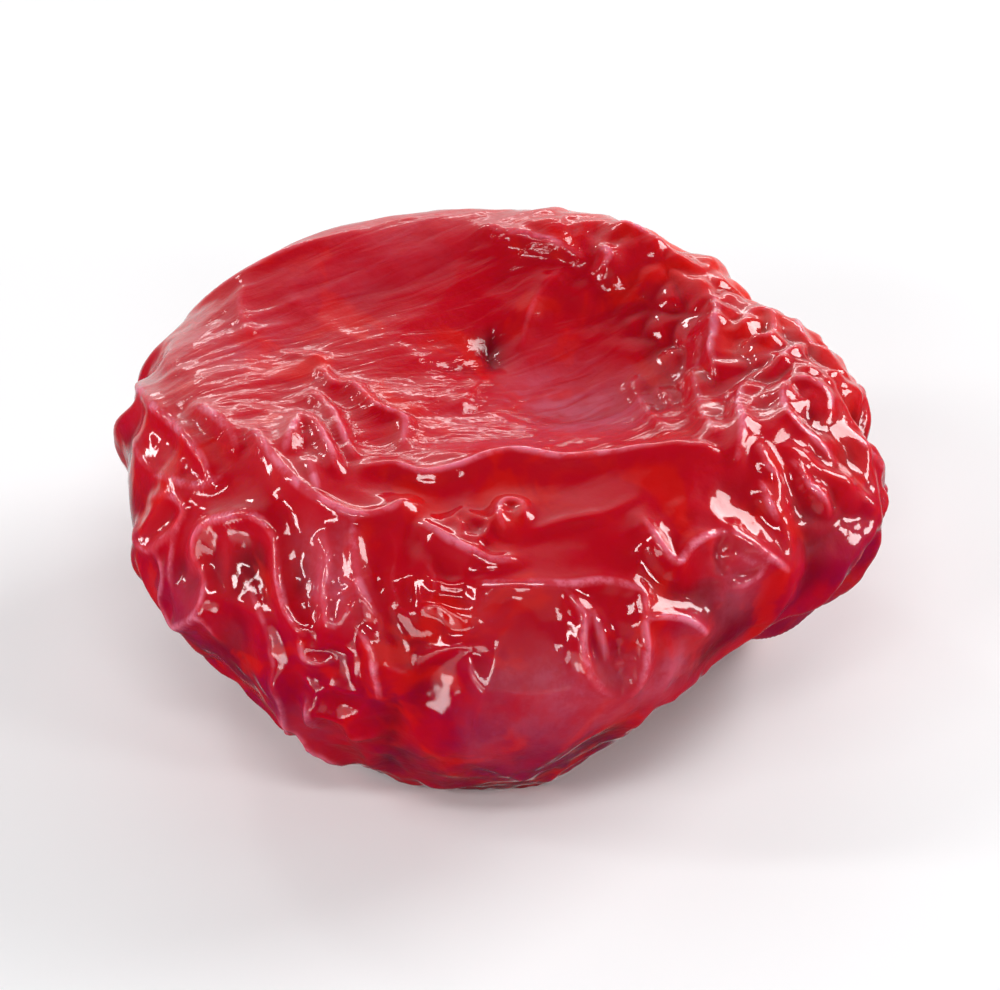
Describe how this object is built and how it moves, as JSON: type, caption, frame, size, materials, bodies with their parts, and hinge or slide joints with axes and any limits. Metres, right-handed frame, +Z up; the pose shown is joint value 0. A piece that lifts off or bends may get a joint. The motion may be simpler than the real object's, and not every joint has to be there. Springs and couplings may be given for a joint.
{
  "type": "dried plum half",
  "caption": "Dried red plum half with glossy wrinkled skin, sunken top and a curled rim round the stone's hollow, lying cut side down.",
  "frame": {"origin": "on the surface that the plum lies on, under the middle of its box", "axes": "+Z up out of the skin side, +X along the plum's greatest width, -Y towards the folded front"},
  "size_m": [0.0456, 0.043, 0.0206],
  "materials": {
    "plum": "moist dark red skin, translucent and glossy, with orange-red fibrous flesh on the cut side"
  },
  "bodies": {
    "root": {"plum": "plum"}
  },
  "joints": []
}
